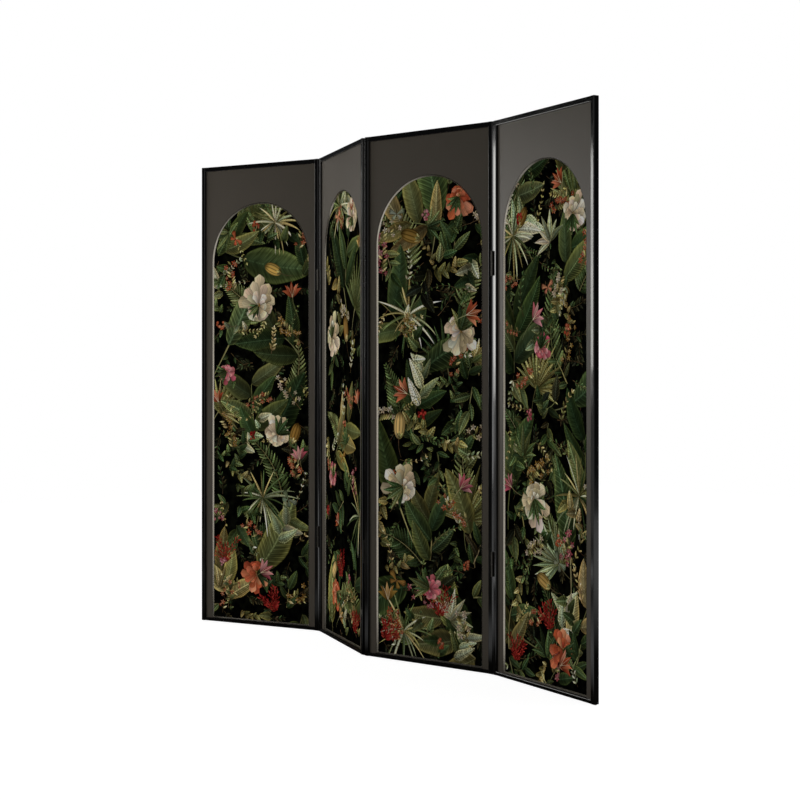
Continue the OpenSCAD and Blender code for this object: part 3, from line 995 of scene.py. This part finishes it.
# %% Dim twigs, ferns and big leaves
def plant_back(n, picture):
    rng = picture.rng
    for p in places(rng, some(n, 70)):
        sprig(picture, p, rng.uniform(*ANY_WAY), rng.uniform(60, 110), DIM + DEEP[2:3], rng.uniform(22, 34))
    for p in places(rng, some(n, 7)):
        fern(picture, p, UP + rng.uniform(-1.4, 1.4), rng.uniform(210, 330), rng.uniform(62, 92), DEEP,
             rng.choice((-1, 1)) * rng.uniform(0.4, 1.0))
    for p in places(rng, some(n, 3)):
        palm(picture, p, UP + rng.uniform(-1.0, 1.0), rng.uniform(150, 210), DEEP[1:] + OLIVE[2:3] + SAGE[3:])
    for p in places(rng, some(n, 6)):
        plantain(picture, p, UP + rng.uniform(-1.9, 1.9), rng.uniform(230, 340), DEEP + OLIVE[2:3],
                 rng.uniform(0.34, 0.46), rng.uniform(-0.7, 0.7))
    for p in places(rng, some(n, 7)):
        cane(picture, p, UP + rng.uniform(-1.2, 1.2), rng.uniform(120, 220),
             rng.choice((DEEP, DEEP, DEEP + OLIVE[2:3], OLIVE)), rng.uniform(140, 230),
             rng.choice((3, 4, 5)), rng.uniform(0.34, 0.46), rng.uniform(-0.8, 0.8))
    for p in places(rng, 2):
        cane(picture, p, UP + rng.uniform(-1.2, 1.2), rng.uniform(80, 140), SAGE + DEEP[3:],
             rng.uniform(85, 120), 4, 0.5, rng.uniform(-0.8, 0.8), "net", "heart")


pictures = {n: Picture(700 + n) for n in PANELS}
for n, picture in pictures.items():
    plant_back(n, picture)
print("faces at the back:", {n: len(picture.faces) for n, picture in pictures.items()})

# %% [markdown]
# ### The middle of the picture
# Grasses, vines and hands of leaves come next, then small canes and vines in the bare spots, and fine twigs
# over all of them.

# %% Grasses, vines and fine twigs
def plant_middle(n, picture):
    rng = picture.rng
    for p in places(rng, 2):
        grass(picture, p, rng.uniform(130, 185), OLIVE + SAGE + DEEP[1:])
    for p in places(rng, some(n, 6)):
        vine(picture, p, rng.uniform(*ANY_WAY), rng.uniform(120, 200), rng.choice((DEEP, OLIVE, DEEP + SAGE)),
             rng.uniform(38, 66), rng.choice((4, 5, 6)))
    for p in places(rng, some(n, 3)):
        hand(picture, p, UP + rng.uniform(-1.5, 1.5), rng.uniform(80, 130), rng.choice((SAGE, OLIVE, DEEP)))
    for _ in range(some(n, 16)):
        cane(picture, bare(picture), rng.uniform(*ANY_WAY), rng.uniform(50, 90),
             rng.choice((DEEP, DEEP, DIM + DEEP)), rng.uniform(50, 95), rng.choice((2, 3, 4)),
             rng.uniform(0.36, 0.5), rng.uniform(-0.8, 0.8))
    for _ in range(some(n, 14)):
        vine(picture, bare(picture), rng.uniform(*ANY_WAY), rng.uniform(60, 120),
             rng.choice((DEEP, OLIVE, DEEP)), rng.uniform(22, 40), 6)
    for p in places(rng, some(n, 30)):
        sprig(picture, p, rng.uniform(*ANY_WAY), rng.uniform(80, 140),
              rng.choice((KHAKI, OLIVE, DEEP, DEEP, SAGE)), rng.uniform(14, 24), rng.choice((5, 6, 7)),
              rng.uniform(-1, 1), 0.44)


for n, picture in pictures.items():
    plant_middle(n, picture)
print("faces with the middle:", {n: len(picture.faces) for n, picture in pictures.items()})

# %% [markdown]
# ### The flowers
# The flowers come last: sprays of stars, plumes near the foot, and a few open blooms with leaves by them,
# lilies, pods, berries and butterflies. A seed per panel makes four different pictures that come out alike
# each time.

# %% Flowers and accents
def plant_flowers(n, picture):
    rng = picture.rng
    for p in places(rng, some(n, 15)):
        spray(picture, p, rng.uniform(0.0, 3.1), rng.uniform(80, 150),
              rng.choice((CORAL, CORAL, CORAL, PINK, OCHRE, CREAM)), rng.choice((8, 9, 10, 12)),
              rng.uniform(-0.9, 0.9), rng.uniform(9, 14))
    for p in places(rng, 2, 30, 300):
        plume(picture, p, UP + rng.uniform(-0.6, 0.6), rng.uniform(70, 110), RED)
    for p, inks, size in zip(places(rng, 4, 130, 1580, 165), (CREAM, CORAL, CREAM, PINK), (88, 60, 66, 42)):
        bloom(picture, p, size * rng.uniform(0.85, 1.1), inks, rng.uniform(*ANY_WAY))
        hand(picture, p, rng.uniform(*ANY_WAY), rng.uniform(60, 95), DEEP, 5, 1.2)
    for p in places(rng, 4):
        lily(picture, p, rng.uniform(0.2, 2.9), rng.uniform(45, 70), rng.choice((OCHRE, CORAL, PINK)))
    for p in places(rng, 2, 200, 1500, 180):
        pod(picture, p, rng.uniform(0.2, 2.9), rng.uniform(70, 105), OCHRE)
    for p in places(rng, 4):
        berries(picture, p, rng.choice((RED, PINK, CORAL)))
    for p in places(rng, 2, 250, 1560, 160):
        butterfly(picture, p, rng.uniform(0.6, 2.5), rng.uniform(34, 46), rng.choice((OCHRE, SAGE, CORAL)))


for n, picture in pictures.items():
    plant_flowers(n, picture)
    print("panel", n, "faces", len(picture.faces), "layers", int(picture.heights.max()))

# %% [markdown]
# ## Printing inks
# The inks are dead flat, with no gloss, so the black ground stays black. Each ink takes its sheet's colour
# and multiplies it by shading factors, most of them ramps that go by where a point lies on its blade. Drawn
# by nodes in this way, veins and streaks follow each blade's curve and stay sharp close up.

# %% A flat ink and its shading
# No ink gives back more light than white paper does
PAPER_WHITE = (0.88, 0.87, 0.84)


def flat_finish(shader):
    shader.inputs["Roughness"].default_value = 0.8
    shader.inputs["Specular IOR Level"].default_value = 0.0


def new_ink(name):
    """The material, its tree, its colour, and where a point lies: X along the blade, Y across, Z its luck."""
    made, tree, shader = new_material(name)
    flat_finish(shader)
    colour = add_node(tree, "ShaderNodeAttribute", attribute_name="ink").outputs["Color"]
    part = add_node(tree, "ShaderNodeAttribute", attribute_name="part").outputs["Vector"]
    return made, tree, colour, add_node(tree, "ShaderNodeSeparateXYZ", {0: part}).outputs


def shade_ink(tree, colour, ramps, *more):
    """Each ramp has what it goes by, two values of that, and the factor at each of the two."""
    factors = []
    for source, low, high, at_low, at_high in ramps:
        ramp = add_node(
            tree, "ShaderNodeMapRange",
            {"Value": source, "From Min": low, "From Max": high, "To Min": at_low, "To Max": at_high})
        factors.append(ramp.outputs[0])
    factors.extend(more)
    shade = factors[0]
    for factor in factors[1:]:
        shade = add_node(tree, "ShaderNodeMath", {0: shade, 1: factor}, operation="MULTIPLY").outputs[0]
    tinted = add_node(tree, "ShaderNodeVectorMath", {0: colour, "Scale": shade}, operation="SCALE")
    capped = add_node(
        tree, "ShaderNodeVectorMath", {0: tinted.outputs[0], 1: PAPER_WHITE}, operation="MINIMUM")
    tree.links.new(capped.outputs[0], tree.nodes["Principled BSDF"].inputs["Base Color"])


print("paper gives back", PAPER_WHITE[0], "of the red light")

# %% [markdown]
# ### Leaf veins
# A leaf has a pale midrib, and side veins that leave it at a slant every 9 mm. Some leaves have a net in
# place of the side veins, with meshes about 8 mm wide. Real veins would be finer than a pixel here, so they
# are drawn coarser.

# %% Leaf veins
VEIN_HALF = 4.5 * MM
NET_CELL = 8 * MM


def drawn_veins(tree, lie, across, net):
    """How much vein a place has, where along the blade its side vein starts, and how far it lies from it."""
    rib = add_node(
        tree, "ShaderNodeMapRange",
        {"Value": across, "From Min": 0.8 * MM, "From Max": 2.2 * MM, "To Min": 1.0, "To Max": 0.0})
    slant = add_node(
        tree, "ShaderNodeMath", {0: across, 1: -0.8, 2: lie["X"]}, operation="MULTIPLY_ADD").outputs[0]
    row = add_node(tree, "ShaderNodeMath", {0: slant, 1: VEIN_HALF}, operation="PINGPONG").outputs[0]
    vein_by = {"Value": row, "From Min": 0.4 * MM, "From Max": 1.8 * MM, "To Min": 0.8, "To Max": 0.0}
    if net:
        flat = add_node(tree, "ShaderNodeCombineXYZ", {"X": lie["X"], "Y": lie["Y"]})
        cells = add_node(
            tree, "ShaderNodeTexVoronoi", {"Vector": flat.outputs[0], "Scale": 1 / NET_CELL},
            feature="DISTANCE_TO_EDGE", voronoi_dimensions="2D")
        vein_by = {"Value": cells.outputs["Distance"], "From Min": 0.04, "From Max": 0.2, "To Min": 0.9,
                   "To Max": 0.0}
    vein = add_node(tree, "ShaderNodeMapRange", vein_by)
    lines = add_node(tree, "ShaderNodeMath", {0: rib.outputs[0], 1: vein.outputs[0]}, operation="MAXIMUM")
    return lines.outputs[0], slant, row


print("side veins every", round(2 * VEIN_HALF / MM, 1), "mm")

# %% [markdown]
# ### Leaf inks
# A leaf is puckered between its side veins, so each band gets darker towards them. It has a lighter and a
# darker half, a pale margin inside a dark outline, and fine hatching, as a hand-drawn plate has.

# %% Leaf inks
# Hatches are about 3 mm wide and 25 mm long, and the sheet's luck shifts them
HATCH = (1 / (3 * MM), 1 / (25 * MM), 90)


def leaf_ink(name, net):
    made, tree, colour, part = new_ink(name)
    place = add_node(tree, "ShaderNodeAttribute", attribute_name="lie").outputs["Vector"]
    lie = add_node(tree, "ShaderNodeSeparateXYZ", {0: place}).outputs
    across = add_node(tree, "ShaderNodeMath", {0: lie["Y"]}, operation="ABSOLUTE").outputs[0]
    edge = add_node(tree, "ShaderNodeMath", {0: part["Y"]}, operation="ABSOLUTE").outputs[0]
    lines, slant, row = drawn_veins(tree, lie, across, net)
    # A sheet's luck says how strongly its veins are drawn
    strength = add_node(
        tree, "ShaderNodeMapRange",
        {"Value": part["Z"], "From Min": 0.2, "From Max": 0.95, "To Min": 0.7, "To Max": 4.6})
    pale = add_node(
        tree, "ShaderNodeMath", {0: lines, 1: strength.outputs[0], 2: 1.0}, operation="MULTIPLY_ADD")
    hatch_at = add_node(tree, "ShaderNodeCombineXYZ", {"X": slant, "Y": across, "Z": part["Z"]})
    hatch_scaled = add_node(
        tree, "ShaderNodeVectorMath", {0: hatch_at.outputs[0], 1: HATCH}, operation="MULTIPLY")
    hatch = add_node(
        tree, "ShaderNodeTexNoise", {"Vector": hatch_scaled.outputs[0], "Scale": 1.0, "Detail": 3.0})
    # Towards the margin the green turns yellower
    yellower = add_node(tree, "ShaderNodeVectorMath", {0: colour, 1: (1.25, 1.0, 0.7)}, operation="MULTIPLY")
    aged = add_node(
        tree, "ShaderNodeMix", {"Factor": edge, "A": colour, "B": yellower.outputs[0]}, data_type="RGBA")
    halves = (part["Y"], -0.3, 0.3, 0.62, 1.14)
    length = (part["X"], 0.0, 0.65, 0.42, 1.12)
    margin = (edge, 0.66, 0.9, 0.95, 1.9)
    outline = (edge, 0.92, 1.0, 1.0, 0.3)
    pocket = (row, 0.0, VEIN_HALF, 0.6, 1.1)
    hatching = (hatch.outputs["Fac"], 0.3, 0.7, 0.45, 1.4)
    ramps = (halves, length, margin, outline, pocket, hatching)
    shade_ink(tree, aged.outputs["Result"], ramps, pale.outputs[0])
    return made


leaf_inks = [leaf_ink("leaf inks", False), leaf_ink("net-veined leaf inks", True)]
print("leaf inks have", [len(ink.node_tree.nodes) for ink in leaf_inks], "nodes")

# %% [markdown]
# ### Petal, pod and stem inks
# A petal is dark at its root and streaked along its length. A pod and a butterfly's wing have ribs and a dark
# rim, and a stem is lighter along one side, as a round thing is.

# %% Petal, pod and stem inks
def petal_ink(name):
    made, tree, colour, part = new_ink(name)
    streak_at = add_node(tree, "ShaderNodeCombineXYZ", {"X": part["X"], "Y": part["Y"], "Z": part["Z"]})
    streak_scaled = add_node(
        tree, "ShaderNodeVectorMath", {0: streak_at.outputs[0], 1: (1.2, 6.5, 70)}, operation="MULTIPLY")
    streak = add_node(
        tree, "ShaderNodeTexNoise", {"Vector": streak_scaled.outputs[0], "Scale": 1.0, "Detail": 3.0})
    edge = add_node(tree, "ShaderNodeMath", {0: part["Y"]}, operation="ABSOLUTE").outputs[0]
    length = (part["X"], 0.1, 0.9, 0.3, 1.15)
    streaks = (streak.outputs["Fac"], 0.3, 0.7, 0.55, 1.15)
    side = (part["Y"], -1.0, 1.0, 0.6, 1.12)
    outline = (edge, 0.86, 1.0, 1.0, 0.45)
    shade_ink(tree, colour, (length, streaks, side, outline))
    return made


def ribbed_ink(name):
    made, tree, colour, part = new_ink(name)
    edge = add_node(tree, "ShaderNodeMath", {0: part["Y"]}, operation="ABSOLUTE").outputs[0]
    rim = add_node(tree, "ShaderNodeMath", {0: edge, 1: part["X"]}, operation="MAXIMUM").outputs[0]
    ribs_at = add_node(tree, "ShaderNodeMath", {0: part["Y"], 1: 0.3}, operation="PINGPONG").outputs[0]
    border = (rim, 0.72, 0.95, 1.0, 0.2)
    ribs = (ribs_at, 0.02, 0.16, 0.35, 1.1)
    side = (part["Y"], -1.0, 1.0, 0.55, 1.2)
    shade_ink(tree, colour, (border, ribs, side))
    return made


def line_ink(name):
    made, tree, colour, part = new_ink(name)
    shade_ink(tree, colour, [(part["Y"], -0.5, 0.5, 0.5, 1.4)])
    return made


# In the order of KINDS
inks = leaf_inks + [petal_ink("petal inks"), ribbed_ink("ribbed pod and wing inks"), line_ink("stem inks")]
print("inks:", [ink.name for ink in inks])

# %% [markdown]
# ## The black ground
# Between the plants the board is printed solid black, which is never quite even: there are faint green and
# brown clouds in it. One flat black would make the gaps look like holes in the board.

# %% Ground
ground, tree, shader = new_material("black printed ground")
flat_finish(shader)
where = add_node(tree, "ShaderNodeTexCoord").outputs["Object"]
# The clouds are about 28 mm across
clouds = add_node(tree, "ShaderNodeTexNoise", {"Vector": where, "Scale": 1 / (28 * MM), "Detail": 6.0})
ramp = add_node(tree, "ShaderNodeValToRGB", {"Fac": clouds.outputs["Fac"]})
for stop, position, tone in zip(ramp.color_ramp.elements, (0.45, 0.75), ("#020202", "#0f110a")):
    stop.position = position
    stop.color = linear(tone)
tree.links.new(ramp.outputs["Color"], shader.inputs["Base Color"])
for n in PANELS:
    dress(f"panel_{n}_decor_panel", ground)
print("ground on", len(PANELS), "boards")

# %% [markdown]
# ## Laying the pictures on their boards
# A mesh for each sheet would make thousands of pieces, so all the sheets of a panel become one mesh, which
# rides with the panel. Its points store what the inks need: where they lie on their blade in metres, where as
# shares of it with the sheet's luck, and the sheet's ink.

# %% Lay the pictures on their boards
def hang(n, picture):
    s = stands[n]
    verts = []
    for x, z, lift in picture.points:
        p = s["face"] + s["along"] * x * MM + s["out"] * lift * MM
        verts.append((p.x, p.y, z * MM))
    mesh = bpy.data.meshes.new(f"panel_{n}_print")
    mesh.from_pydata(verts, [], picture.faces)
    for name, kind, field, values in (
        ("lie", "FLOAT_VECTOR", "vector", picture.lie),
        ("part", "FLOAT_VECTOR", "vector", picture.part),
        ("ink", "FLOAT_COLOR", "color", picture.ink),
    ):
        layer = mesh.attributes.new(name, kind, "POINT")
        layer.data.foreach_set(field, np.array(values, dtype=np.float32).ravel())
    for material in inks:
        mesh.materials.append(material)
    mesh.polygons.foreach_set("material_index", picture.kinds)
    mesh.update()
    piece = bpy.data.objects.new(f"panel_{n}_print", mesh)
    bpy.context.scene.collection.objects.link(piece)
    # Sheets that were drawn the other way round are turned to face the front
    out = s["out"]
    flips = [p for p in mesh.polygons if p.normal.x * out.x + p.normal.y * out.y < 0]
    for p in flips:
        p.flip()
    mesh.update()
    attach(piece, f"panel_{n}")
    print(piece.name, "faces", len(mesh.polygons), "turned", len(flips))


for n in PANELS:
    hang(n, pictures[n])

# %% [markdown]
# ## Finish

# %% End
print("the scene is dressed")
